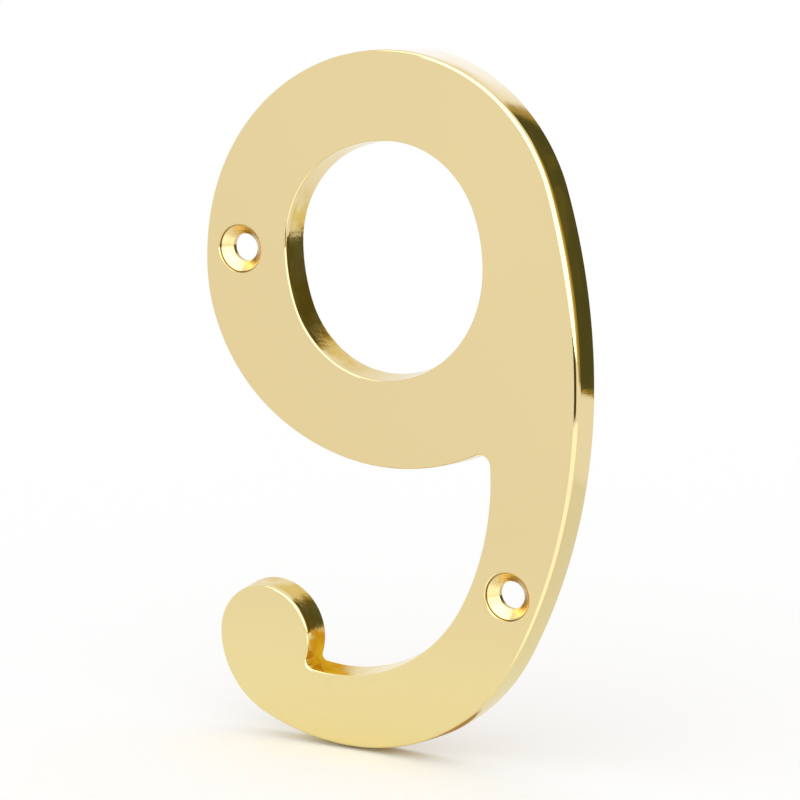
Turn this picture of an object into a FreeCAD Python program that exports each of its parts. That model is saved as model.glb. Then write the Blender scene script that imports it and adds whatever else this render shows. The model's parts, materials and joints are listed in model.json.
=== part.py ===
import FreeCAD, Part
import math
import os
import Sketcher

# A flat cast door number in the outline of the digit nine, made in millimetres.
# It faces -Y and stands upright along +Z, with its flat back in the plane Y = 0.
# The origin is the middle of its width and height on that back plane.
# "Across" is measured from the left side, "inset" from the named side,
# "drop" down from the top and "rise" up from the foot.
SIZES = {
    # the whole plate
    "height": 101.6,
    "width": 60.9,
    "thickness": 4.2,
    "draft": 5.0,
    "edge_round": 0.45,
    # the bowl: a quarter circle at upper left, then two arcs down to its lowest point
    "bowl_radius": 31.3,
    "bowl_height": 59.9,
    "bowl_low_across": 30.45,
    "bowl_turn": 56.0,
    "crotch_radius": 1.2,
    # the stem and the tail: two arcs along the inner edge, from upright to level
    "stem_width": 14.4,
    "stem_turn": 27.5,
    "tail_across": 21.4,
    "tail_rise": 11.1,
    "notch_radius": 0.9,
    # the ball that ends the tail
    "ball_across": 9.8,
    "ball_rise": 14.95,
    "ball_radius": 7.85,
    "ball_turn": 66.5,
    # the foot and the right flank
    "foot_across": 24.45,
    "foot_turn": 62.5,
    "flank_rise": 54.8,
    "flank_turn": 17.5,
    # the opening in the bowl, placed by the metal left round it: its top lies right of its middle,
    # its left side above and its lowest point left of it
    "top_stroke": 13.45,
    "left_stroke": 14.3,
    "low_stroke": 13.2,
    "right_stroke": 15.75,
    "opening_top_shift": 1.2,
    "opening_left_lift": 1.3,
    "opening_low_shift": 0.7,
    "opening_turn_upper_left": 20.0,
    "opening_turn_lower_left": 20.0,
    "opening_turn_lower_right": 70.0,
    "opening_turn_upper_right": 22.0,
    # the screw holes: countersink, short land, and a wider relief from the back
    "upper_hole_inset": 6.3,
    "upper_hole_drop": 30.0,
    "lower_hole_inset": 11.15,
    "lower_hole_rise": 25.7,
    "hole_diameter": 4.0,
    "sink_diameter": 7.0,
    "sink_angle": 90.0,
    "sink_round": 0.4,
    "hole_land": 0.7,
    "relief_diameter": 7.2,
}

NODE = "numeral_nine"
RIGHT_ANGLE = math.pi / 2
FACING = FreeCAD.Vector(0, 0, 1)
FIRST, LAST, CENTRE = range(1, 4)
ORIGIN_POINT = (-1, 1)
FLATNESS = 1e-4


class Arc:
    """One arc of an outline; its angle grows on a bulge of the metal and falls on a hollow."""

    def __init__(self, centre, radius, start, finish):
        self.centre = centre
        self.radius = radius
        self.start = start
        self.finish = finish
        self.hollow = finish < start
        self.index = None

    def begin(self):
        return self.index, LAST if self.hollow else FIRST

    def end(self):
        return self.index, FIRST if self.hollow else LAST

    def middle(self):
        return self.index, CENTRE


def point(x, z):
    return FreeCAD.Vector(x, z, 0)


def quarter(along, across, turn):
    """Radii of two tangent arcs that together turn a right angle.

    They reach `along` in the first heading and `across` in the last,
    and the first arc makes `turn` of the turn.
    """
    sine = math.sin(turn)
    cosine = math.cos(turn)
    spread = sine * cosine - (1 - sine) * (1 - cosine)
    first = (along * cosine - across * (1 - sine)) / spread
    second = (across * sine - along * (1 - cosine)) / spread
    return first, second


def crossing(near, near_reach, far, far_reach, side):
    """The point at one reach from `near` and another from `far`, on the side that +1 or -1 picks."""
    run = far.sub(near)
    offset = (near_reach**2 - far_reach**2 + run.Length**2) / (2 * run.Length)
    height = math.sqrt(near_reach**2 - offset**2)
    ahead = FreeCAD.Vector(run).normalize()
    sideways = FreeCAD.Vector(-ahead.y, ahead.x, 0)
    return near + ahead * offset + sideways * (side * height)


def direction(start, finish):
    run = finish.sub(start)
    return math.atan2(run.y, run.x)


def outline_arcs(size):
    """The fourteen arcs round the numeral, anticlockwise from the top, where they first stand."""
    left, right = -size["width"] / 2, size["width"] / 2
    foot, top = -size["height"] / 2, size["height"] / 2
    turn = {name: math.radians(value) for name, value in size.items() if name.endswith("_turn")}

    bowl_radius = size["bowl_radius"]
    bowl = point(left + bowl_radius, top - bowl_radius)
    low = point(left + size["bowl_low_across"], top - size["bowl_height"])
    side_radius, low_radius = quarter(bowl.y - low.y, low.x - left, turn["bowl_turn"])
    bowl_side = point(left + side_radius, bowl.y)
    bowl_low = point(low.x, low.y + low_radius)

    stem = point(right - size["stem_width"], low.y)
    tail = point(left + size["tail_across"], foot + size["tail_rise"])
    stem_radius, tail_radius = quarter(stem.y - tail.y, stem.x - tail.x, turn["stem_turn"])
    stem_centre = point(stem.x - stem_radius, stem.y)
    tail_centre = point(tail.x, tail.y + tail_radius)
    ball = point(left + size["ball_across"], foot + size["ball_rise"])
    ball_radius = size["ball_radius"]

    crotch_radius = size["crotch_radius"]
    crotch = crossing(bowl_low, low_radius + crotch_radius, stem_centre, stem_radius - crotch_radius, 1)
    notch_radius = size["notch_radius"]
    notch = crossing(tail_centre, tail_radius - notch_radius, ball, ball_radius + notch_radius, 1)

    base = point(left + size["foot_across"], foot)
    ball_side_radius, base_radius = quarter(ball.y - foot, base.x - ball.x + ball_radius, turn["ball_turn"])
    ball_side = point(ball.x - ball_radius + ball_side_radius, ball.y)
    flank = point(right, foot + size["flank_rise"])
    foot_radius, lower_radius = quarter(right - base.x, flank.y - foot, turn["foot_turn"])
    upper_radius, shoulder_radius = quarter(top - flank.y, right - bowl.x, turn["flank_turn"])

    bowl_join = -2 * RIGHT_ANGLE + turn["bowl_turn"]
    ball_join = -2 * RIGHT_ANGLE + turn["ball_turn"]
    foot_join = -RIGHT_ANGLE + turn["foot_turn"]
    crotch_on_bowl = direction(bowl_low, crotch)
    crotch_on_stem = direction(stem_centre, crotch)
    notch_on_tail = direction(tail_centre, notch)
    notch_on_ball = direction(ball, notch)
    return [
        Arc(bowl, bowl_radius, RIGHT_ANGLE, 2 * RIGHT_ANGLE),
        Arc(bowl_side, side_radius, -2 * RIGHT_ANGLE, bowl_join),
        Arc(bowl_low, low_radius, bowl_join, crotch_on_bowl),
        Arc(crotch, crotch_radius, crotch_on_bowl + math.pi, crotch_on_stem),
        Arc(stem_centre, stem_radius, crotch_on_stem, -turn["stem_turn"]),
        Arc(tail_centre, tail_radius, -turn["stem_turn"], notch_on_tail),
        Arc(notch, notch_radius, notch_on_tail, notch_on_ball - math.pi),
        Arc(ball, ball_radius, notch_on_ball, math.pi),
        Arc(ball_side, ball_side_radius, -2 * RIGHT_ANGLE, ball_join),
        Arc(point(base.x, foot + base_radius), base_radius, ball_join, -RIGHT_ANGLE),
        Arc(point(base.x, foot + foot_radius), foot_radius, -RIGHT_ANGLE, foot_join),
        Arc(point(right - lower_radius, flank.y), lower_radius, foot_join, 0),
        Arc(point(right - upper_radius, flank.y), upper_radius, 0, turn["flank_turn"]),
        Arc(point(bowl.x, top - shoulder_radius), shoulder_radius, turn["flank_turn"], RIGHT_ANGLE),
    ]


def opening_arcs(size):
    """The eight arcs round the opening in the bowl, anticlockwise from its top."""
    left = size["left_stroke"] - size["width"] / 2
    right = size["width"] / 2 - size["right_stroke"]
    top = size["height"] / 2 - size["top_stroke"]
    low = size["height"] / 2 - size["bowl_height"] + size["low_stroke"]
    middle = point((left + right) / 2, (top + low) / 2)
    corners = [
        point(middle.x + size["opening_top_shift"], top),
        point(left, middle.y + size["opening_left_lift"]),
        point(middle.x - size["opening_low_shift"], low),
        point(right, middle.y),
    ]
    places = ["upper_left", "lower_left", "lower_right", "upper_right"]
    arcs = []
    for step, place in enumerate(places):
        start = corners[step]
        run = corners[(step + 1) % len(corners)].sub(start)
        spoke = RIGHT_ANGLE * (1 + step)
        ahead = point(-math.sin(spoke), math.cos(spoke))
        inward = point(-math.cos(spoke), -math.sin(spoke))
        turn = math.radians(size["opening_turn_" + place])
        first, second = quarter(run.dot(ahead), run.dot(inward), turn)
        arcs.append(Arc(start + inward * first, first, spoke, spoke + turn))
        arcs.append(Arc(start + run - ahead * second, second, spoke + turn, spoke + RIGHT_ANGLE))
    return arcs


def drawn_value(sketch, kind, places):
    """What a dimension measures on the geometry as it is first drawn."""
    if kind in ("DistanceX", "DistanceY"):
        run = sketch.getPoint(*places[2:]).sub(sketch.getPoint(*places[:2]))
        return run.x if kind == "DistanceX" else run.y
    curve = sketch.Geometry[places[0]]
    if kind == "Radius":
        return curve.Radius
    if kind == "Diameter":
        return 2 * curve.Radius
    if isinstance(curve, Part.LineSegment):
        return direction(curve.StartPoint, curve.EndPoint)
    return curve.LastParameter - curve.FirstParameter


def bind(sketch, name, expression, kind, *places):
    """Adds a dimension that is tied to the sheet."""
    value = drawn_value(sketch, kind, places)
    index = sketch.addConstraint(Sketcher.Constraint(kind, *places, value))
    sketch.renameConstraint(index, name)
    sketch.setExpression("Constraints." + name, expression)


def add_corner(sketch, size):
    """The lower left corner of the numeral's box, from which places are measured."""
    spot = point(-size["width"] / 2, -size["height"] / 2)
    corner = (sketch.addGeometry(Part.Point(spot), True), FIRST)
    bind(sketch, "corner_across", "Sizes.width / 2", "DistanceX", *corner, *ORIGIN_POINT)
    bind(sketch, "corner_rise", "Sizes.height / 2", "DistanceY", *corner, *ORIGIN_POINT)
    return corner


def add_ring(sketch, arcs):
    """Draws the arcs and makes each one tangent to the next, round to the first."""
    for arc in arcs:
        low, high = sorted((arc.start, arc.finish))
        circle = Part.Circle(arc.centre, FACING, arc.radius)
        arc.index = sketch.addGeometry(Part.ArcOfCircle(circle, low, high), False)
    for arc, following in zip(arcs, arcs[1:] + arcs[:1]):
        sketch.addConstraint(Sketcher.Constraint("Tangent", *arc.end(), *following.begin()))


def add_lowest(sketch, arc, name, corner, across, rise, level):
    """A point on the arc, level with its centre or straight below it, at a set place."""
    reach = point(arc.radius, 0) if level == "Horizontal" else point(0, -arc.radius)
    spot = (sketch.addGeometry(Part.Point(arc.centre + reach), True), FIRST)
    sketch.addConstraint(Sketcher.Constraint("PointOnObject", *spot, arc.index))
    sketch.addConstraint(Sketcher.Constraint(level, *spot, *arc.middle()))
    bind(sketch, name + "_across", across, "DistanceX", *corner, *spot)
    bind(sketch, name + "_rise", rise, "DistanceY", *corner, *spot)


def tail_join(stem):
    """Where the stem's inner arc hands over to the tail's."""
    return stem.centre + point(math.cos(stem.finish), math.sin(stem.finish)) * stem.radius


def draw_outline(sketch, size):
    arcs = outline_arcs(size)
    add_ring(sketch, arcs)
    corner = add_corner(sketch, size)
    bowl, bowl_side, bowl_low, crotch, stem, tail, notch = arcs[:7]
    ball, ball_side, base, foot, lower_flank, upper_flank = arcs[7:-1]

    # the quarter circle from the top to the left side
    sketch.addConstraint(Sketcher.Constraint("Vertical", *bowl.begin(), *bowl.middle()))
    sketch.addConstraint(Sketcher.Constraint("Horizontal", *bowl.end(), *bowl.middle()))
    sketch.addConstraint(Sketcher.Constraint("Vertical", *bowl.end(), *corner))
    bind(sketch, "top_rise", "Sizes.height", "DistanceY", *corner, *bowl.begin())
    bind(sketch, "bowl_radius", "Sizes.bowl_radius", "Radius", bowl.index)

    # the rest of the bowl, down to the crotch
    bind(sketch, "bowl_turn", "Sizes.bowl_turn", "Angle", bowl_side.index)
    bowl_low_rise = "Sizes.height - Sizes.bowl_height"
    add_lowest(sketch, bowl_low, "bowl_low", corner, "Sizes.bowl_low_across", bowl_low_rise, "Vertical")
    bind(sketch, "crotch_radius", "Sizes.crotch_radius", "Radius", crotch.index)

    # the inner edge of the stem and the tail, to the notch
    stem_across = "Sizes.width - Sizes.stem_width"
    add_lowest(sketch, stem, "stem", corner, stem_across, bowl_low_rise, "Horizontal")
    spoke = Part.LineSegment(tail_join(stem), stem.centre)
    spoke_index = sketch.addGeometry(spoke, True)
    sketch.addConstraint(Sketcher.Constraint("Coincident", spoke_index, FIRST, *stem.end()))
    sketch.addConstraint(Sketcher.Constraint("Coincident", spoke_index, LAST, *stem.middle()))
    bind(sketch, "stem_spoke", "180 - Sizes.stem_turn", "Angle", spoke_index)
    add_lowest(sketch, tail, "tail", corner, "Sizes.tail_across", "Sizes.tail_rise", "Vertical")
    bind(sketch, "notch_radius", "Sizes.notch_radius", "Radius", notch.index)

    # the ball, to its left side
    bind(sketch, "ball_across", "Sizes.ball_across", "DistanceX", *corner, *ball.middle())
    bind(sketch, "ball_rise", "Sizes.ball_rise", "DistanceY", *corner, *ball.middle())
    bind(sketch, "ball_radius", "Sizes.ball_radius", "Radius", ball.index)
    sketch.addConstraint(Sketcher.Constraint("Horizontal", *ball.end(), *ball.middle()))

    # the foot and the flank, up to the shoulder that closes the ring
    bind(sketch, "ball_turn", "Sizes.ball_turn", "Angle", ball_side.index)
    sketch.addConstraint(Sketcher.Constraint("Vertical", *base.end(), *base.middle()))
    sketch.addConstraint(Sketcher.Constraint("Horizontal", *base.end(), *corner))
    bind(sketch, "foot_across", "Sizes.foot_across", "DistanceX", *corner, *base.end())
    bind(sketch, "foot_turn", "Sizes.foot_turn", "Angle", foot.index)
    sketch.addConstraint(Sketcher.Constraint("Horizontal", *lower_flank.end(), *lower_flank.middle()))
    bind(sketch, "right_across", "Sizes.width", "DistanceX", *corner, *lower_flank.end())
    bind(sketch, "flank_rise", "Sizes.flank_rise", "DistanceY", *corner, *lower_flank.end())
    bind(sketch, "flank_turn", "Sizes.flank_turn", "Angle", upper_flank.index)


def draw_opening(sketch, size):
    arcs = opening_arcs(size)
    add_ring(sketch, arcs)
    corner = add_corner(sketch, size)
    left = "Sizes.left_stroke"
    right = "Sizes.width - Sizes.right_stroke"
    top = "Sizes.height - Sizes.top_stroke"
    low = "Sizes.height - Sizes.bowl_height + Sizes.low_stroke"
    middle_across = "(%s + %s) / 2" % (left, right)
    middle_rise = "(%s + %s) / 2" % (top, low)
    spots = [
        ("upper_left", "Vertical", middle_across + " + Sizes.opening_top_shift", top),
        ("lower_left", "Horizontal", left, middle_rise + " + Sizes.opening_left_lift"),
        ("lower_right", "Vertical", middle_across + " - Sizes.opening_low_shift", low),
        ("upper_right", "Horizontal", right, middle_rise),
    ]
    for arc, (place, level, across, rise) in zip(arcs[::2], spots):
        sketch.addConstraint(Sketcher.Constraint(level, *arc.begin(), *arc.middle()))
        bind(sketch, place + "_across", across, "DistanceX", *corner, *arc.begin())
        bind(sketch, place + "_rise", rise, "DistanceY", *corner, *arc.begin())
        bind(sketch, place + "_turn", "Sizes.opening_turn_" + place, "Angle", arc.index)


def draw_holes(sketch, size, diameter):
    """Two circles of the named diameter, one at each screw hole."""
    right, top = size["width"] / 2, size["height"] / 2
    upper = point(size["upper_hole_inset"] - right, top - size["upper_hole_drop"])
    lower = point(right - size["lower_hole_inset"], size["lower_hole_rise"] - top)
    corner = add_corner(sketch, size)
    spots = [
        ("upper", upper, "Sizes.upper_hole_inset", "Sizes.height - Sizes.upper_hole_drop"),
        ("lower", lower, "Sizes.width - Sizes.lower_hole_inset", "Sizes.lower_hole_rise"),
    ]
    for place, spot, across, rise in spots:
        circle = Part.Circle(spot, FACING, size[diameter] / 2)
        index = sketch.addGeometry(circle, False)
        bind(sketch, place + "_across", across, "DistanceX", *corner, index, CENTRE)
        bind(sketch, place + "_rise", rise, "DistanceY", *corner, index, CENTRE)
        bind(sketch, place + "_diameter", "Sizes." + diameter, "Diameter", index)


def back_plane(body):
    return next(item for item in body.Origin.OriginFeatures if item.Role == "XZ_Plane")


def new_sketch(body, name):
    """A sketch on the back plane: across is +X, up is +Z, and its normal points out at the front."""
    sketch = body.newObject("Sketcher::SketchObject", name)
    sketch.AttachmentSupport = [(back_plane(body), "")]
    sketch.MapMode = "FlatFace"
    return sketch


def wall_faces(shape):
    """Names of the faces that run from the back to the front."""
    faces = enumerate(shape.Faces, start=1)
    return ["Face%d" % number for number, face in faces if face.BoundBox.YLength > FLATNESS]


def front_edges(shape, thickness):
    """The edges that lie in the front plane, by name."""
    edges = {}
    for number, edge in enumerate(shape.Edges, start=1):
        box = edge.BoundBox
        if max(abs(box.YMin + thickness), abs(box.YMax + thickness)) < FLATNESS:
            edges["Edge%d" % number] = edge
    return edges


def is_circle(edge, radius):
    if not isinstance(edge.Curve, Part.Circle) or not edge.isClosed():
        return False
    return abs(edge.Curve.Radius - radius) < FLATNESS


def check_cut(before, after, name):
    if after.Shape.Volume > before.Shape.Volume - FLATNESS:
        raise RuntimeError(name + " removed nothing")


def make_sheet(doc):
    sheet = doc.addObject("Spreadsheet::Sheet", "Sizes")
    for row, (name, value) in enumerate(SIZES.items(), start=1):
        sheet.set("A%d" % row, name)
        sheet.set("B%d" % row, str(value))
        sheet.setAlias("B%d" % row, name)
    doc.recompute()


def make_numeral(doc, size):
    body = doc.addObject("PartDesign::Body", "Numeral")
    body.Label = NODE
    body.Placement = FreeCAD.Placement()

    outline = new_sketch(body, "Outline")
    draw_outline(outline, size)
    plate = body.newObject("PartDesign::Pad", "Plate")
    plate.Profile = outline
    plate.setExpression("Length", "Sizes.thickness")
    doc.recompute()

    opening_sketch = new_sketch(body, "OpeningSketch")
    draw_opening(opening_sketch, size)
    opening = body.newObject("PartDesign::Pocket", "Opening")
    opening.Profile = opening_sketch
    opening.Reversed = True
    opening.setExpression("Length", "Sizes.thickness")
    doc.recompute()
    check_cut(plate, opening, "the opening")

    walls = body.newObject("PartDesign::Draft", "WallDraft")
    walls.Base = (opening, wall_faces(opening.Shape))
    walls.NeutralPlane = (back_plane(body), [""])
    doc.recompute()
    walls.setExpression("Angle", "Sizes.draft")
    doc.recompute()
    check_cut(opening, walls, "the draft")

    rounding = body.newObject("PartDesign::Fillet", "FrontRounding")
    rounding.Base = (walls, list(front_edges(walls.Shape, size["thickness"])))
    rounding.setExpression("Radius", "Sizes.edge_round")
    doc.recompute()

    screw_sketch = new_sketch(body, "ScrewSketch")
    screw_sketch.setExpression("AttachmentOffset.Base.z", "Sizes.thickness")
    draw_holes(screw_sketch, size, "hole_diameter")
    doc.recompute()
    screws = body.newObject("PartDesign::Hole", "ScrewHoles")
    screws.Profile = screw_sketch
    screws.DepthType = "ThroughAll"
    screws.HoleCutType = "Countersink"
    screws.HoleCutCustomValues = True
    screws.setExpression("Diameter", "Sizes.hole_diameter")
    screws.setExpression("HoleCutDiameter", "Sizes.sink_diameter")
    screws.setExpression("HoleCutCountersinkAngle", "Sizes.sink_angle")
    doc.recompute()
    check_cut(rounding, screws, "the screw holes")

    relief_sketch = new_sketch(body, "ReliefSketch")
    draw_holes(relief_sketch, size, "relief_diameter")
    relief = body.newObject("PartDesign::Pocket", "BackRelief")
    relief.Profile = relief_sketch
    relief.Reversed = True
    sink_depth = "(Sizes.sink_diameter - Sizes.hole_diameter) / 2 / tan(Sizes.sink_angle / 2 * 1 deg)"
    relief.setExpression("Length", "Sizes.thickness - Sizes.hole_land - " + sink_depth)
    doc.recompute()
    check_cut(screws, relief, "the relief behind the screw holes")

    edges = front_edges(relief.Shape, size["thickness"])
    rims = [name for name, edge in edges.items() if is_circle(edge, size["sink_diameter"] / 2)]
    polished_rims = body.newObject("PartDesign::Fillet", "SinkRounding")
    polished_rims.Base = (relief, rims)
    polished_rims.setExpression("Radius", "Sizes.sink_round")
    doc.recompute()
    return body


def check_document(doc, body):
    for item in doc.Objects:
        if "Invalid" in item.State or "Error" in item.State:
            raise RuntimeError("%s did not build: %s" % (item.Name, item.State))
    if body.Shape.isNull() or not body.Shape.isValid():
        raise RuntimeError("%s has no valid shape" % body.Label)
    if len(body.Shape.Solids) != 1:
        raise RuntimeError("%s is not one solid" % body.Label)


def main():
    doc = FreeCAD.newDocument("DoorNumber")
    make_sheet(doc)
    body = make_numeral(doc, SIZES)
    check_document(doc, body)
    os.makedirs("parts", exist_ok=True)
    body.Shape.exportStep("parts/%s.step" % body.Label)
    print("%s volume %.1f mm3" % (body.Label, body.Shape.Volume))


main()
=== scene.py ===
import json
import math
from collections import Counter
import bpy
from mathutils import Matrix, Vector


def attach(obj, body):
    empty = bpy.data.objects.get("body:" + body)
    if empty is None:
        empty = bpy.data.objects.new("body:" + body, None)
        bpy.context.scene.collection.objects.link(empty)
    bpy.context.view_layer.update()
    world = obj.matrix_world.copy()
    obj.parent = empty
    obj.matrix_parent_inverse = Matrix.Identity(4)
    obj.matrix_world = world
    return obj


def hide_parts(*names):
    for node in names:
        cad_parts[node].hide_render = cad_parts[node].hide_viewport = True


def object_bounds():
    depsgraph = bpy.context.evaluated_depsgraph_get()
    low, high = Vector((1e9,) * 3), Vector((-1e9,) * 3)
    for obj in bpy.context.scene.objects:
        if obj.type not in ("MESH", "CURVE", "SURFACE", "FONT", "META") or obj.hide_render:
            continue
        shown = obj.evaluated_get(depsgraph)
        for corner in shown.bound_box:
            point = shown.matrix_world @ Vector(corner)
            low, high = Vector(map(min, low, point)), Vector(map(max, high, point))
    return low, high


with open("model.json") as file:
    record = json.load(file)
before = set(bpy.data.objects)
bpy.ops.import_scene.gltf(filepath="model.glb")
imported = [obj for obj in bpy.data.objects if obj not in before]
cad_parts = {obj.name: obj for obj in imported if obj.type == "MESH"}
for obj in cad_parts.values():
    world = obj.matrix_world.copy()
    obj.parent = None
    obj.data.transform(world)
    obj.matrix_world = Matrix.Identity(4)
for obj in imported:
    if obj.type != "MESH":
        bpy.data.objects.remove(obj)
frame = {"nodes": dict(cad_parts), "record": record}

from types import SimpleNamespace

import bpy
from mathutils import Vector
from mathutils.geometry import convex_hull_2d, interpolate_bezier, tessellate_polygon

# A polished brass door number, the digit nine, stood on its foot on a pale floor.
# All lengths are in metres, in the part's own frame: it faces -Y and stands along +Z.
NUMERAL = "numeral_nine"
POLISH = "polish"
CAD_BOX = [list(corner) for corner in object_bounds()]
FOOT = CAD_BOX[0][2]
FRONT = CAD_BOX[0][1]
BACK = CAD_BOX[1][1]
FORWARD = Vector((0, -1, 0))
MM = 0.001
SAME_PLANE = 1e-6
SAME_POINT_DIGITS = 7

# the colour sockets of a mix node
MIX_FIRST, MIX_SECOND, MIX_RESULT = 6, 7, 2

# the camera, as far off and as high as the photograph was taken from
CAMERA_PLACE = Vector((0.2552, -0.4493, 0.1023))
CAMERA_TARGET = Vector((0.0021, -0.0042, 0.0013))
FIELD_OF_VIEW = math.radians(12.289)

# the walls lean in towards the front and bulge a little
LEAN_BACK = math.radians(3.5)
LEAN_FRONT = math.radians(6.5)
WALL_STEPS = 6
LOOP_STEP = 0.4 * MM

# the shoulder is the walls' front rounding; outside it narrows towards the foot and the top
SHOULDER_OUTSIDE = 0.85 * MM
SHOULDER_IN_GAP = 0.4 * MM
SHOULDER_IN_OPENING = 0.28 * MM
SHOULDER_LOW, SHOULDER_LOW_END = 0.0, -0.035
SHOULDER_HIGH, SHOULDER_HIGH_END = 0.025, 0.060
SHOULDER_STEPS = 10
SHOULDER_BLEND = 9

# the screw holes: rounded rim, cone, short land and the wider relief behind it
SINK_RADIUS = 3.5 * MM
SINK_LEAN = math.radians(45.0)
SINK_ROUND = 0.75 * MM
SINK_STEPS = 6
HOLE_RADIUS = 2.0 * MM
LAND_BACK = -2.0 * MM
RELIEF_RADIUS = 3.6 * MM
HOLE_SIDES = 96
RIM_LINE_OUT = SINK_RADIUS + 0.02 * MM
RIM_LINE_IN = SINK_RADIUS - 0.19 * MM
RIM_LINE_SOFT = 0.06 * MM

# colours of the metal, as linear light, among them painted light at the foot, painted amber and gold
# reflections and a painted shade for the countersink rims
BRASS = (0.785, 0.634, 0.335)
BRASS_PALE = (0.815, 0.680, 0.365)
BRASS_FOOT_PAINTED_LIGHT = (0.845, 0.715, 0.350)
BRASS_TURNED = (0.840, 0.670, 0.330)
BRASS_RING = (0.560, 0.390, 0.160)
BRASS_AMBER_REFLECTION = (0.670, 0.450, 0.070)
BRASS_GOLD_REFLECTION = (0.820, 0.590, 0.200)
BRASS_RIM_SHADE = (0.160, 0.090, 0.008)
BRASS_CAST = (0.640, 0.480, 0.230)

# spans over which one zone of the part passes into the next
SINK_SPAN = (SINK_RADIUS + 0.1 * MM, SINK_RADIUS)
FACE_SPAN = (FRONT + 0.001 * MM, FRONT + 0.02 * MM)
WALL_SPAN = (FRONT + 0.5 * MM, FRONT + 1.0 * MM)
BACK_SPAN = (BACK - 0.02 * MM, BACK - 0.005 * MM)
DRIFT_SPAN = (-0.03, 0.06)
FOOT_LIGHT_SPAN = (-0.015, -0.048)
AMBER_REFLECTION_ACROSS = (-0.002, -0.009)
AMBER_REFLECTION_UP = (0.031, 0.026)

# how much of the painted amber reflection, the tool rings and the painted rim shade shows, and the side on
# which the painted gold and rim shade lie
AMBER_REFLECTION_PATCHES, AMBER_REFLECTION_SHARE = (0.30, 0.62), 0.8
RING_PATCHES, RING_SHARE = (0.52, 0.66), 0.6
PAINTED_LIGHT_WAY = (0.8, 0.0, 0.6)
RIM_SHADE_FROM, RIM_SHADE_TO, RIM_SHADE_LEAST = -0.4, 0.3, 0.35
GOLD_REFLECTION_SIDE = (0.1, -0.5)

# the noises of the finish and of the painted amber reflection, and the middle that each of them swings
# about
CLOUD_NOISE = {"Scale": 26.0, "Detail": 3.0}
AMBER_REFLECTION_NOISE = {"Scale": 300.0, "Detail": 4.0}
RING_NOISE = {"Scale": 3800.0, "Detail": 2.0}
WAVE_NOISE = {"Scale": 420.0, "Detail": 4.0}
GRAIN_NOISE = {"Scale": 1800.0, "Detail": 3.0}
NOISE_MIDDLE = 0.5

# unevenness of the surface, and the share of it on the walls
RING_BUMP = {"Strength": 0.9, "Distance": 0.04 * MM}
WAVE_BUMP = {"Strength": 0.8, "Distance": 0.1 * MM}
GRAIN_BUMP = {"Strength": 0.5, "Distance": 0.06 * MM}
WAVES_POLISHED, WAVES_CAST = 0.25, 0.75
GRAIN_CAST = 0.8

# roughness, and what the cast walls and the back add to it
ROUGH_FACE, ROUGH_TURNED = 0.05, 0.18
ROUGH_CAST, ROUGH_BACK = 0.12, 0.35

# the studio: white light all round and a white floor
WHITE = (1.0, 1.0, 1.0)
WORLD_LIGHT = 1.0
FLOOR_SIDE = 8.0
FLOOR_GAP = 0.0001
FLOOR_NOISE = {"Scale": 300.0, "Detail": 2.0}
FLOOR_BUMP = {"Strength": 0.02, "Distance": 0.001}
ARC_SIDES = 48

# the studio's cards; their fades are shares of the width at the left, right, low and high edge
CARD_LIGHT = 1.0
CARD_SOLID = 0.4
CARD_NOISE = {"Scale": 7.0, "Detail": 3.0}
CARD_PATCHES = (0.42, 0.62)

# a curved soft box round the right front, with wings that reach further left only higher up
BOX_FROM, BOX_TO = math.radians(-12), math.radians(95)
BOX_RADIUS = 0.42
BOX_FOOT = -0.036
BOX_TOP = 1.50
BOX_LIGHT = 2.6
BOX_RIM = (0.290, 0.200, 0.070)
BOX_FADES = (0.001, 0.45, 0.001, 0.06)
WING_FROM = math.radians(-26)
WING_FOOT = 0.10
WING_FADES = (0.3, 0.001, 0.1, 0.06)
HIGH_WING_FROM = math.radians(-80)
HIGH_WING_FOOT = 0.55
HIGH_WING_FADES = (0.35, 0.001, 0.15, 0.06)

# a dark strip on the floor before the soft box, and a lit sheet between it and the numeral
STRIP_FROM, STRIP_TO = math.radians(2), math.radians(52)
STRIP_NEAR = 0.23
STRIP_LEVEL = FOOT + 0.0003
STRIP_DARK = (0.075, 0.060, 0.020)
STRIP_FADES = (0.08, 0.5, 0.12, 0.001)
SHEET_NEAR = 0.03
SHEET_LIGHT = 1.40
SHEET_FADES = (0.1, 0.45, 0.15, 0.05)

# a dark flag behind the right side: a leaning sheet with its lower edge on the floor
FLAG_LOW_POINTS = [(0.050, 0.214), (0.285, 0.214), (0.500, -0.250)]
FLAG_HIGH_POINTS = [(0.085, 0.450), (0.540, 0.450), (0.700, -0.250)]
FLAG_TOP = 0.60
FLAG_DARK = (0.088, 0.086, 0.030)
FLAG_RIM = (0.460, 0.335, 0.060)
FLAG_FADES = (0.11, 0.74, 0.012, 0.4)
FLAG_MOTTLE = 0.12

# a gold ribbon close behind the notch of the tail, along its edge
RIBBON_BACK = 0.00003
RIBBON_WIDTH = 0.0040
RIBBON_TOWARDS = Vector((-0.0080, -0.0335))
RIBBON_LEFT, RIBBON_RIGHT = -0.0140, -0.0070
RIBBON_FOOT, RIBBON_TOP = -0.0420, -0.0330
RIBBON_GOLD = (0.740, 0.580, 0.008)
RIBBON_RIM = (0.800, 0.480, 0.060)
RIBBON_FADES = (0.6, 0.4, 0.001, 0.3)
RIBBON_MOTTLE = 0.6

# a brown card on the floor behind the foot, a painted contact shadow that shows only in the metal
BROWN_SHADOW = (0.420, 0.260, 0.090)
BROWN_LEFT, BROWN_RIGHT = -0.012, 0.015
BROWN_NEAR, BROWN_FAR = -0.002, 0.010
BROWN_FADES = (0.3, 0.3, 0.1, 0.3)

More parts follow.
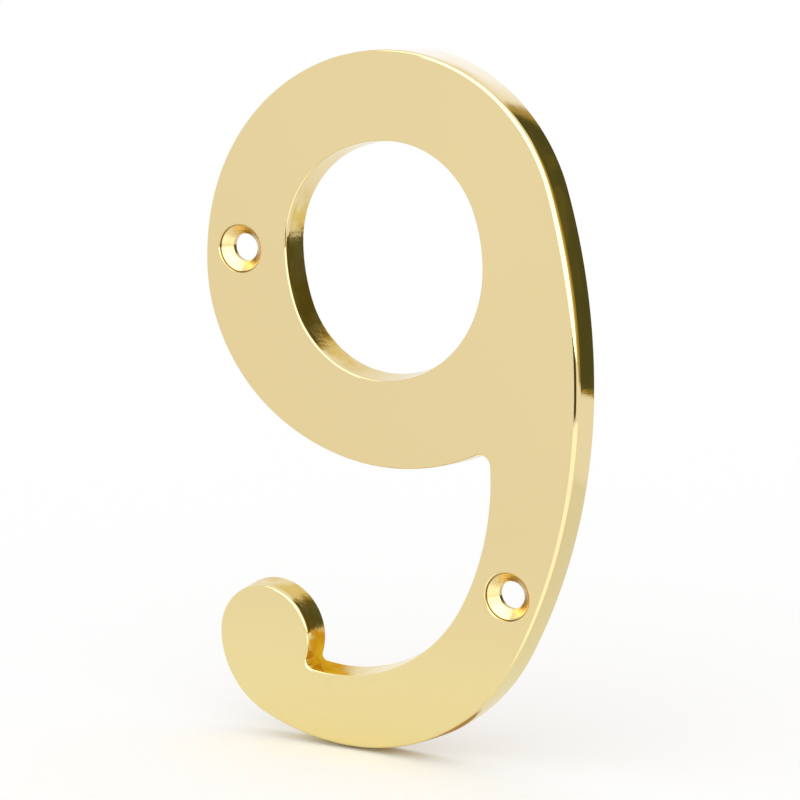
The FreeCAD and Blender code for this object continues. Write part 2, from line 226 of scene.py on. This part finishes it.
# a grey card on the floor behind the right side, painted shade on the floor there that shows only in the
# metal
GREY_SHADE = (0.885, 0.895, 0.825)
GREY_LEFT, GREY_RIGHT = 0.004, 0.120
GREY_NEAR, GREY_FAR = 0.004, 0.110
GREY_LEVEL = FOOT + 0.0002
GREY_FADES = (0.25, 0.4, 0.15, 0.4)

# a cool bright card close behind the top
CROWN_COOL = (0.620, 0.680, 0.950)
CROWN_BACK = 0.030
CROWN_LEFT, CROWN_RIGHT = -0.060, 0.036
CROWN_FOOT, CROWN_TOP_LEFT, CROWN_TOP_RIGHT = 0.048, 0.068, 0.080
CROWN_LIGHT = 1.9
CROWN_FADES = (0.1, 0.5, 0.05, 0.5)


def add_node(tree, kind, **inputs):
    """A shader node with some of its inputs set or linked."""
    node = tree.nodes.new(kind)
    for name, value in inputs.items():
        socket = node.inputs[name.replace("_", " ")]
        if isinstance(value, bpy.types.NodeSocket):
            tree.links.new(value, socket)
        else:
            socket.default_value = value
    return node


def calculate(tree, operation, *values):
    """One step of arithmetic between sockets or numbers."""
    node = tree.nodes.new("ShaderNodeMath")
    node.operation = operation
    for socket, value in zip(node.inputs, values):
        if isinstance(value, bpy.types.NodeSocket):
            tree.links.new(value, socket)
        else:
            socket.default_value = value
    return node.outputs["Value"]


def ramp(tree, value, start, finish):
    """0 where the value is at the start, 1 where it is at the finish, and smooth between."""
    node = add_node(tree, "ShaderNodeMapRange", Value=value, From_Min=start, From_Max=finish)
    node.interpolation_type = "SMOOTHSTEP"
    return node.outputs["Result"]


def blend(tree, share, first, second):
    """A colour between two, each a socket or three numbers."""
    node = tree.nodes.new("ShaderNodeMix")
    node.data_type = "RGBA"
    tree.links.new(share, node.inputs["Factor"])
    for socket, colour in ((node.inputs[MIX_FIRST], first), (node.inputs[MIX_SECOND], second)):
        if isinstance(colour, bpy.types.NodeSocket):
            tree.links.new(colour, socket)
        else:
            socket.default_value = (*colour, 1.0)
    return node.outputs[MIX_RESULT]


def new_material(name):
    material = bpy.data.materials.new(name)
    material.use_nodes = True
    tree = material.node_tree
    tree.nodes.clear()
    output = tree.nodes.new("ShaderNodeOutputMaterial")
    return material, tree, output


def hole_distance(tree, place, holes):
    """How far a point is from the axis of the nearer screw hole."""
    flat = add_node(tree, "ShaderNodeVectorMath", Vector=place)
    flat.operation = "MULTIPLY"
    flat.inputs[1].default_value = (1, 0, 1)
    spans = []
    for x, z in holes:
        span = add_node(tree, "ShaderNodeVectorMath", Vector=flat.outputs["Vector"])
        span.operation = "DISTANCE"
        span.inputs[1].default_value = (x, 0, z)
        spans.append(span.outputs["Value"])
    return calculate(tree, "MINIMUM", *spans)


def brass_zones(tree, holes):
    """Where a point lies, and how far it belongs to the countersinks, the walls and the back."""
    place = tree.nodes.new("ShaderNodeTexCoord").outputs["Object"]
    across, depth, up = add_node(tree, "ShaderNodeSeparateXYZ", Vector=place).outputs
    reach = hole_distance(tree, place, holes)
    near_hole = ramp(tree, reach, *SINK_SPAN)
    behind_face = ramp(tree, depth, *FACE_SPAN)
    on_wall = calculate(tree, "SUBTRACT", ramp(tree, depth, *WALL_SPAN), near_hole)
    polish = tree.nodes.new("ShaderNodeAttribute")
    polish.attribute_name = POLISH
    unpolished = calculate(tree, "SUBTRACT", 1.0, polish.outputs["Fac"])
    return SimpleNamespace(
        place=place,
        across=across,
        up=up,
        reach=reach,
        behind_face=behind_face,
        turned=calculate(tree, "MULTIPLY", near_hole, behind_face),
        on_wall=on_wall,
        on_cast_wall=calculate(tree, "MULTIPLY", on_wall, unpolished),
        on_back=ramp(tree, depth, *BACK_SPAN),
    )


def brass_colour(tree, zones, rings):
    """A slow drift over the face, painted light at the foot, a painted amber reflection on the cast walls,
    gold countersinks with a painted gold reflection on one side and painted shade along their rims, a
    duller back.
    """
    along = calculate(tree, "ADD", zones.across, zones.up)
    clouds = add_node(tree, "ShaderNodeTexNoise", Vector=zones.place, **CLOUD_NOISE)
    drift = calculate(tree, "MULTIPLY", ramp(tree, along, *DRIFT_SPAN), clouds.outputs["Fac"])
    colour = blend(tree, drift, BRASS, BRASS_PALE)
    # painted light: the face turns lighter towards the foot, standing in for a brighter reflection there
    colour = blend(tree, ramp(tree, zones.up, *FOOT_LIGHT_SPAN), colour, BRASS_FOOT_PAINTED_LIGHT)

    # painted reflection: amber in patches on the cast walls at the lower left, standing in for warm
    # surroundings mirrored there
    spots = add_node(tree, "ShaderNodeTexNoise", Vector=zones.place, **AMBER_REFLECTION_NOISE)
    amber_reflection = zones.on_cast_wall
    for limit in (
        ramp(tree, zones.across, *AMBER_REFLECTION_ACROSS),
        ramp(tree, zones.up, *AMBER_REFLECTION_UP),
        ramp(tree, spots.outputs["Fac"], *AMBER_REFLECTION_PATCHES),
        AMBER_REFLECTION_SHARE,
    ):
        amber_reflection = calculate(tree, "MULTIPLY", amber_reflection, limit)
    colour = blend(tree, amber_reflection, colour, BRASS_AMBER_REFLECTION)

    # painted reflection: the countersinks turn gold on their upper right side, chosen by which way the
    # surface faces
    geometry = tree.nodes.new("ShaderNodeNewGeometry")
    side = add_node(tree, "ShaderNodeVectorMath", Vector=geometry.outputs["Normal"])
    side.operation = "DOT_PRODUCT"
    side.inputs[1].default_value = PAINTED_LIGHT_WAY
    facing = side.outputs["Value"]
    turned_with_gold_reflection = blend(tree, ramp(tree, facing, *GOLD_REFLECTION_SIDE), BRASS_TURNED, BRASS_GOLD_REFLECTION)
    colour = blend(tree, zones.turned, colour, turned_with_gold_reflection)
    ring_shade = calculate(tree, "MULTIPLY", ramp(tree, rings.outputs["Fac"], *RING_PATCHES), zones.turned)
    colour = blend(tree, calculate(tree, "MULTIPLY", ring_shade, RING_SHARE), colour, BRASS_RING)

    # painted shade: a dark line in the crease at each countersink rim, strongest on its lower left and
    # weakest on its upper right
    inside_rim = ramp(tree, zones.reach, RIM_LINE_IN - RIM_LINE_SOFT, RIM_LINE_IN)
    outside_rim = ramp(tree, zones.reach, RIM_LINE_OUT - RIM_LINE_SOFT, RIM_LINE_OUT)
    rim_shade = calculate(tree, "SUBTRACT", inside_rim, outside_rim)
    rim_shade = calculate(tree, "MULTIPLY", rim_shade, zones.behind_face)
    rim_shade_side = add_node(
        tree,
        "ShaderNodeMapRange",
        Value=facing,
        From_Min=RIM_SHADE_FROM,
        From_Max=RIM_SHADE_TO,
        To_Min=RIM_SHADE_LEAST,
    )
    rim_shade = calculate(tree, "MULTIPLY", rim_shade, rim_shade_side.outputs["Result"])
    colour = blend(tree, rim_shade, colour, BRASS_RIM_SHADE)
    return blend(tree, zones.on_back, colour, BRASS_CAST)


def add_bump(tree, noise, share, size, below=None):
    """A share of a noise laid over the bumps below, without raising or sinking the surface as a whole."""
    swing = calculate(tree, "SUBTRACT", noise.outputs["Fac"], NOISE_MIDDLE)
    bump = add_node(tree, "ShaderNodeBump", Height=calculate(tree, "MULTIPLY", swing, share), **size)
    if below is not None:
        tree.links.new(below, bump.inputs["Normal"])
    return bump.outputs["Normal"]


def brass_bumps(tree, zones, rings):
    """Rings in the countersinks, soft waves along the walls, grain on the cast walls and the back."""
    waves = add_node(tree, "ShaderNodeTexNoise", Vector=zones.place, **WAVE_NOISE)
    grain = add_node(tree, "ShaderNodeTexNoise", Vector=zones.place, **GRAIN_NOISE)
    polished_waves = calculate(tree, "MULTIPLY", zones.on_wall, WAVES_POLISHED)
    waviness = calculate(tree, "MULTIPLY_ADD", zones.on_cast_wall, WAVES_CAST, polished_waves)
    graininess = calculate(tree, "MULTIPLY_ADD", zones.on_cast_wall, GRAIN_CAST, zones.on_back)
    bumps = add_bump(tree, rings, zones.turned, RING_BUMP)
    bumps = add_bump(tree, waves, waviness, WAVE_BUMP, bumps)
    return add_bump(tree, grain, graininess, GRAIN_BUMP, bumps)


def polished_brass(holes):
    """Polished brass: even on the face, less so on the walls, turned in the countersinks, cast behind."""
    material, tree, output = new_material("polished_brass")
    zones = brass_zones(tree, holes)
    rings = add_node(tree, "ShaderNodeTexNoise", **RING_NOISE)
    rings.noise_dimensions = "1D"
    tree.links.new(zones.reach, rings.inputs["W"])
    gloss = add_node(tree, "ShaderNodeMapRange", Value=zones.turned, To_Min=ROUGH_FACE, To_Max=ROUGH_TURNED)
    roughness = calculate(tree, "MULTIPLY_ADD", zones.on_back, ROUGH_BACK, gloss.outputs["Result"])
    roughness = calculate(tree, "MULTIPLY_ADD", zones.on_cast_wall, ROUGH_CAST, roughness)
    shader = add_node(
        tree,
        "ShaderNodeBsdfPrincipled",
        Base_Color=brass_colour(tree, zones, rings),
        Metallic=1.0,
        Roughness=roughness,
        Normal=brass_bumps(tree, zones, rings),
    )
    tree.links.new(shader.outputs["BSDF"], output.inputs["Surface"])
    return material


def pale_floor():
    material, tree, output = new_material("pale_floor")
    place = tree.nodes.new("ShaderNodeTexCoord").outputs["Object"]
    grain = add_node(tree, "ShaderNodeTexNoise", Vector=place, **FLOOR_NOISE)
    bump = add_node(tree, "ShaderNodeBump", Height=grain.outputs["Fac"], **FLOOR_BUMP)
    shader = add_node(tree, "ShaderNodeBsdfDiffuse", Color=(*WHITE, 1.0), Normal=bump.outputs["Normal"])
    tree.links.new(shader.outputs["BSDF"], output.inputs["Surface"])
    return material


def card_material(name, inner, rim, strength, fades, mottle):
    """A glow that passes from the inner colour to the rim's and fades out at the four edges."""
    material, tree, output = new_material(name)
    place = tree.nodes.new("ShaderNodeTexCoord").outputs["UV"]
    parts = add_node(tree, "ShaderNodeSeparateXYZ", Vector=place)
    across, upward = parts.outputs["X"], parts.outputs["Y"]
    left, right, low, high = fades
    sides = calculate(tree, "MULTIPLY", ramp(tree, across, 0.0, left), ramp(tree, across, 1.0, 1.0 - right))
    ends = calculate(tree, "MULTIPLY", ramp(tree, upward, 0.0, low), ramp(tree, upward, 1.0, 1.0 - high))
    cover = calculate(tree, "MULTIPLY", sides, ends)
    clouds = add_node(tree, "ShaderNodeTexNoise", Vector=place, **CARD_NOISE)
    patches = calculate(tree, "MULTIPLY", ramp(tree, clouds.outputs["Fac"], *CARD_PATCHES), mottle)
    patchy = calculate(tree, "SUBTRACT", cover, patches)
    colour = blend(tree, ramp(tree, patchy, CARD_SOLID, 1.0), rim, inner)
    light = add_node(tree, "ShaderNodeEmission", Color=colour, Strength=strength)
    clear = tree.nodes.new("ShaderNodeBsdfTransparent")
    mix = add_node(tree, "ShaderNodeMixShader", Fac=ramp(tree, cover, 0.0, CARD_SOLID))
    tree.links.new(clear.outputs["BSDF"], mix.inputs[1])
    tree.links.new(light.outputs["Emission"], mix.inputs[2])
    tree.links.new(mix.outputs["Shader"], output.inputs["Surface"])
    return material


def add_sheet(name, low, high, material):
    """A stage sheet between a low and a high row of points."""
    count = len(low)
    mesh = bpy.data.meshes.new(name)
    faces = [(i, i + 1, count + i + 1, count + i) for i in range(count - 1)]
    mesh.from_pydata([tuple(point) for point in low + high], [], faces)
    mesh.materials.append(material)
    spread = mesh.uv_layers.new(name="spread")
    for corner in mesh.loops:
        row, step = divmod(corner.vertex_index, count)
        spread.data[corner.index].uv = (step / (count - 1), row)
    sheet = bpy.data.objects.new(name, mesh)
    bpy.context.scene.collection.objects.link(sheet)
    return sheet


def add_card(name, low, high, inner, rim, strength, fades, mottle=0.0):
    """A studio card, which shows only in the metal."""
    card = add_sheet(name, low, high, card_material(name, inner, rim, strength, fades, mottle))
    card.visible_camera = False
    card.visible_diffuse = False
    card.visible_shadow = False


def arc_points(radius, level, start, finish):
    """Points round the numeral; the heading is 0 in front of it and grows to its right."""
    points = []
    for step in range(ARC_SIDES + 1):
        heading = start + (finish - start) * step / ARC_SIDES
        points.append((radius * math.sin(heading), -radius * math.cos(heading), level))
    return points


def flat_rows(left, right, near, far, level):
    """The near and the far edge of a level rectangle."""
    near_row = [(left, near, level), (right, near, level)]
    far_row = [(left, far, level), (right, far, level)]
    return near_row, far_row


def add_floor():
    half = FLOOR_SIDE / 2
    near, far = flat_rows(-half, half, -half, half, FOOT - FLOOR_GAP)
    add_sheet("floor", near, far, pale_floor())


def add_soft_box():
    for name, start, finish, foot, rim, fades in (
        ("soft_box", BOX_FROM, BOX_TO, BOX_FOOT, BOX_RIM, BOX_FADES),
        ("soft_wing", WING_FROM, BOX_FROM, WING_FOOT, WHITE, WING_FADES),
        ("high_wing", HIGH_WING_FROM, WING_FROM, HIGH_WING_FOOT, WHITE, HIGH_WING_FADES),
    ):
        low = arc_points(BOX_RADIUS, foot, start, finish)
        high = arc_points(BOX_RADIUS, BOX_TOP, start, finish)
        add_card(name, low, high, WHITE, rim, BOX_LIGHT, fades)


def add_floor_cards():
    near = arc_points(STRIP_NEAR, STRIP_LEVEL, STRIP_FROM, STRIP_TO)
    far = arc_points(BOX_RADIUS, BOX_FOOT, STRIP_FROM, STRIP_TO)
    add_card("dark_strip", near, far, STRIP_DARK, STRIP_DARK, CARD_LIGHT, STRIP_FADES)

    near = arc_points(SHEET_NEAR, STRIP_LEVEL, STRIP_FROM, BOX_TO)
    far = arc_points(STRIP_NEAR, STRIP_LEVEL, STRIP_FROM, BOX_TO)
    add_card("floor_sheet", near, far, WHITE, WHITE, SHEET_LIGHT, SHEET_FADES)

    near, far = flat_rows(BROWN_LEFT, BROWN_RIGHT, BROWN_NEAR, BROWN_FAR, STRIP_LEVEL)
    add_card("brown_shadow_card", near, far, BROWN_SHADOW, BROWN_SHADOW, CARD_LIGHT, BROWN_FADES)

    near, far = flat_rows(GREY_LEFT, GREY_RIGHT, GREY_NEAR, GREY_FAR, GREY_LEVEL)
    add_card("grey_shade_card", near, far, GREY_SHADE, GREY_SHADE, CARD_LIGHT, GREY_FADES)


def add_cards_behind(outline):
    """The flag at the right, the ribbon at the notch of the given outline and the card at the top."""
    low = [(x, y, FOOT) for x, y in FLAG_LOW_POINTS]
    high = [(x, y, FLAG_TOP) for x, y in FLAG_HIGH_POINTS]
    add_card("dark_flag", low, high, FLAG_DARK, FLAG_RIM, CARD_LIGHT, FLAG_FADES, FLAG_MOTTLE)

    low, high = [], []
    for point in outline:
        if RIBBON_LEFT < point.x < RIBBON_RIGHT and RIBBON_FOOT < point.y < RIBBON_TOP:
            inner = point + (RIBBON_TOWARDS - point).normalized() * RIBBON_WIDTH
            low.append((point.x, RIBBON_BACK, point.y))
            high.append((inner.x, RIBBON_BACK, inner.y))
    add_card("gold_ribbon", low, high, RIBBON_GOLD, RIBBON_RIM, CARD_LIGHT, RIBBON_FADES, RIBBON_MOTTLE)

    low = [(CROWN_LEFT, CROWN_BACK, CROWN_FOOT), (CROWN_RIGHT, CROWN_BACK, CROWN_FOOT)]
    high = [(CROWN_LEFT, CROWN_BACK, CROWN_TOP_LEFT), (CROWN_RIGHT, CROWN_BACK, CROWN_TOP_RIGHT)]
    add_card("crown_card", low, high, CROWN_COOL, CROWN_COOL, CROWN_LIGHT, CROWN_FADES)


def add_world():
    world = bpy.data.worlds.new("studio")
    world.use_nodes = True
    world.node_tree.nodes["Background"].inputs["Color"].default_value = (*WHITE, 1.0)
    world.node_tree.nodes["Background"].inputs["Strength"].default_value = WORLD_LIGHT
    bpy.context.scene.world = world


def add_camera():
    data = bpy.data.cameras.new("camera")
    data.sensor_fit = "HORIZONTAL"
    data.angle = FIELD_OF_VIEW
    camera = bpy.data.objects.new("camera", data)
    camera.location = CAMERA_PLACE
    camera.rotation_euler = (CAMERA_TARGET - CAMERA_PLACE).to_track_quat("-Z", "Y").to_euler()
    bpy.context.scene.collection.objects.link(camera)
    bpy.context.scene.camera = camera


class Shape:
    """Points, faces and the surface's heading at each corner of each face."""

    def __init__(self):
        self.points = []
        self.polish = []
        self.faces = []
        self.normals = []

    def add_ring(self, points, polish):
        first = len(self.points)
        self.points.extend(points)
        self.polish.extend(polish)
        return list(range(first, len(self.points)))

    def add_face(self, corners, normals):
        spots = [self.points[corner] for corner in corners]
        turn = (spots[1] - spots[0]).cross(spots[2] - spots[0])
        if turn.dot(sum(normals, Vector((0, 0, 0)))) < 0:
            corners = corners[::-1]
            normals = normals[::-1]
        self.faces.append(corners)
        self.normals.extend(normals)

    def add_strip(self, first, second, first_normals, second_normals):
        """Faces between two rings of as many points."""
        count = len(first)
        for i in range(count):
            j = (i + 1) % count
            corners = [first[i], first[j], second[j], second[i]]
            normals = [first_normals[i], first_normals[j], second_normals[j], second_normals[i]]
            self.add_face(corners, normals)

    def add_cap(self, rings, normal):
        """A flat face inside the first ring, with the other rings left open."""
        indices = [index for ring in rings for index in ring]
        outlines = [[self.points[index] for index in ring] for ring in rings]
        for triangle in tessellate_polygon(outlines):
            self.add_face([indices[corner] for corner in triangle], [normal] * 3)

    def make(self, name, material):
        mesh = bpy.data.meshes.new(name)
        mesh.from_pydata([tuple(point) for point in self.points], [], self.faces)
        mesh.materials.append(material)
        for polygon in mesh.polygons:
            polygon.use_smooth = True
        mesh.normals_split_custom_set([tuple(normal) for normal in self.normals])
        mesh.attributes.new(POLISH, "FLOAT", "POINT").data.foreach_set("value", self.polish)
        thing = bpy.data.objects.new(name, mesh)
        bpy.context.scene.collection.objects.link(thing)
        return thing


def back_loops(mesh):
    """The closed edges of the flat back, the longest first, each as points across and up."""
    spots = {}
    edges = Counter()
    for polygon in mesh.polygons:
        corners = [mesh.vertices[index].co for index in polygon.vertices]
        if max(abs(corner.y - BACK) for corner in corners) > SAME_PLANE:
            continue
        keys = [tuple(round(length, SAME_POINT_DIGITS) for length in corner.xz) for corner in corners]
        spots.update(zip(keys, corners))
        edges.update(frozenset(pair) for pair in zip(keys, keys[1:] + keys[:1]))
    neighbours = {}
    for edge, uses in edges.items():
        if uses == 1:
            one, other = edge
            neighbours.setdefault(one, []).append(other)
            neighbours.setdefault(other, []).append(one)
    loops = []
    while neighbours:
        loop = [min(neighbours)]
        while loop[-1] in neighbours:
            ahead = [key for key in neighbours.pop(loop[-1]) if key in neighbours]
            if ahead:
                loop.append(ahead[0])
        loops.append([Vector((spots[key].x, spots[key].z)) for key in loop])
    return sorted(loops, key=lambda loop: -sum((a - b).length for a, b in zip(loop, loop[1:])))


def turned_about(loop, anticlockwise):
    """The loop, run the asked way round."""
    area = sum(a.cross(b) for a, b in zip(loop, loop[1:] + loop[:1]))
    return loop if (area > 0) == anticlockwise else loop[::-1]


def headings(one, two, three):
    """The directions at three points of an arc, from the first to the last."""
    before = (two - one).normalized()
    after = (three - two).normalized()
    middle = (before * (three - two).length + after * (two - one).length).normalized()
    return 2 * middle.dot(before) * before - middle, middle, 2 * middle.dot(after) * after - middle


def loop_headings(loop):
    """The direction at each point, taken from the two of its neighbouring arcs that agree best."""
    count = len(loop)
    result = []
    for i in range(count):
        a, b, c, d, e = (loop[(i + shift) % count] for shift in range(-2, 3))
        guesses = [headings(a, b, c)[2], headings(b, c, d)[1], headings(c, d, e)[0]]
        pairs = [(guesses[0], guesses[1]), (guesses[1], guesses[2]), (guesses[0], guesses[2])]
        best = max(pairs, key=lambda pair: pair[0].dot(pair[1]))
        result.append((best[0] + best[1]).normalized())
    return result


def fine_loop(loop, weights):
    """The same edge with close points along its arcs, and the weights carried along."""
    ways = loop_headings(loop)
    points, shares = [], []
    for i, here in enumerate(loop):
        j = (i + 1) % len(loop)
        there = loop[j]
        third = (there - here).length / 3
        steps = max(1, round(3 * third / LOOP_STEP))
        run = interpolate_bezier(here, here + ways[i] * third, there - ways[j] * third, there, steps + 1)
        points.extend(run[:-1])
        shares.extend(weights[i] + (weights[j] - weights[i]) * step / steps for step in range(steps))
    return points, shares


def evened(values, reach):
    """Each value averaged with its neighbours round the loop."""
    count = len(values)
    span = range(-reach, reach + 1)
    return [sum(values[(i + shift) % count] for shift in span) / len(span) for i in range(count)]


def section(shoulder):
    """Inset, depth and lean of the surface from the back edge, up the wall and over the shoulder."""
    rows = []
    inset = 0.0
    wall_end = FRONT + shoulder * (1 - math.sin(LEAN_FRONT))
    stride = (wall_end - BACK) / WALL_STEPS
    for step in range(WALL_STEPS + 1):
        lean = LEAN_BACK + (LEAN_FRONT - LEAN_BACK) * step / WALL_STEPS
        if step:
            inset += abs(stride) * math.tan(lean)
        rows.append((inset, BACK + stride * step, lean))
    middle = inset + shoulder * math.cos(LEAN_FRONT)
    for step in range(1, SHOULDER_STEPS + 1):
        lean = LEAN_FRONT + (math.pi / 2 - LEAN_FRONT) * step / SHOULDER_STEPS
        rows.append((middle - shoulder * math.cos(lean), FRONT + shoulder * (1 - math.sin(lean)), lean))
    return rows


def outside_shoulders(points, shares):
    """The shoulder's radius at each point of the outline."""
    shoulders = []
    for point, share in zip(points, shares):
        above_foot = (point.y - SHOULDER_LOW_END) / (SHOULDER_LOW - SHOULDER_LOW_END)
        below_top = (SHOULDER_HIGH_END - point.y) / (SHOULDER_HIGH_END - SHOULDER_HIGH)
        full = share * min(max(above_foot, 0.0), below_top, 1.0)
        shoulders.append(SHOULDER_IN_GAP + (SHOULDER_OUTSIDE - SHOULDER_IN_GAP) * full)
    return shoulders


def add_edge(shape, points, shoulders, polish):
    """The wall and the shoulder along one edge; gives the rings on the back and on the face."""
    count = len(points)
    outward = []
    for i in range(count):
        way = headings(points[i - 1], points[i], points[(i + 1) % count])[1]
        outward.append(Vector((way.y, 0, -way.x)))
    sections = [section(shoulder) for shoulder in shoulders]
    rings, leans = [], []
    for row in range(WALL_STEPS + SHOULDER_STEPS + 1):
        spots, normals = [], []
        for point, out, rows in zip(points, outward, sections):
            inset, depth, lean = rows[row]
            spots.append(Vector((point.x, depth, point.y)) - out * inset)
            normals.append(out * math.cos(lean) + FORWARD * math.sin(lean))
        rings.append(shape.add_ring(spots, polish))
        leans.append(normals)
    for row in range(len(rings) - 1):
        shape.add_strip(rings[row], rings[row + 1], leans[row], leans[row + 1])
    return rings[0], rings[-1]


def hole_rows():
    """Radius and depth along a screw hole from the face to the back, with the lean of each stretch."""
    # a lean of 90 degrees faces forward, 0 faces the axis and -90 degrees faces back
    reach = SINK_ROUND * math.tan(SINK_LEAN / 2)
    rows = []
    for step in range(SINK_STEPS + 1):
        lean = math.pi / 2 - SINK_LEAN * step / SINK_STEPS
        radius = SINK_RADIUS + reach - SINK_ROUND * math.cos(lean)
        rows.append((radius, FRONT + SINK_ROUND * (1 - math.sin(lean)), lean, lean))
    cone_end = FRONT + (SINK_RADIUS - HOLE_RADIUS)
    rows[-1] = (*rows[-1][:3], SINK_LEAN)
    rows.append((HOLE_RADIUS, cone_end, SINK_LEAN, 0.0))
    rows.append((HOLE_RADIUS, LAND_BACK, 0.0, -math.pi / 2))
    rows.append((RELIEF_RADIUS, LAND_BACK, -math.pi / 2, 0.0))
    rows.append((RELIEF_RADIUS, BACK, 0.0, 0.0))
    return rows


def add_hole(shape, x, z):
    """A countersunk hole; gives its rings on the back and on the face."""
    spokes = []
    for side in range(HOLE_SIDES):
        angle = 2 * math.pi * side / HOLE_SIDES
        spokes.append(Vector((math.cos(angle), 0, math.sin(angle))))
    axis = Vector((x, 0, z))
    rows = hole_rows()
    rings = []
    for radius, depth, _, _ in rows:
        spots = [axis + spoke * radius + Vector((0, depth, 0)) for spoke in spokes]
        rings.append(shape.add_ring(spots, [1.0] * HOLE_SIDES))
    for row in range(len(rows) - 1):
        facing = []
        for lean in (rows[row][3], rows[row + 1][2]):
            facing.append([FORWARD * math.sin(lean) - spoke * math.cos(lean) for spoke in spokes])
        shape.add_strip(rings[row], rings[row + 1], *facing)
    return rings[-1], rings[0]


def add_numeral(node, holes):
    """The numeral with its edges drawn finely enough for clean reflections, and its outline."""
    shape = Shape()
    outside, opening = back_loops(node.data)[:2]
    outside = turned_about(outside, True)
    opening = turned_about(opening, False)
    hull = set(convex_hull_2d(outside))
    outside, shares = fine_loop(outside, [1.0 if i in hull else 0.0 for i in range(len(outside))])
    shares = evened(shares, SHOULDER_BLEND)
    opening, cast = fine_loop(opening, [0.0] * len(opening))
    edges = [
        add_edge(shape, outside, outside_shoulders(outside, shares), shares),
        add_edge(shape, opening, [SHOULDER_IN_OPENING] * len(opening), cast),
    ]
    edges.extend(add_hole(shape, x, z) for x, z in holes)
    shape.add_cap([face for _, face in edges], FORWARD)
    shape.add_cap([back for back, _ in edges], -FORWARD)
    return shape.make("polished_nine", polished_brass(holes)), outside


bores = [mount["pos_m"] for mount in frame["record"]["mounts"] if mount["kind"] == "bore"]
hole_places = [(place[0], place[2]) for place in bores]
numeral, outline = add_numeral(frame["nodes"][NUMERAL], hole_places)
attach(numeral, "root")
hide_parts(NUMERAL)

add_floor()
add_soft_box()
add_floor_cards()
add_cards_behind(outline)
add_world()
add_camera()
bpy.context.scene.view_settings.view_transform = "Standard"
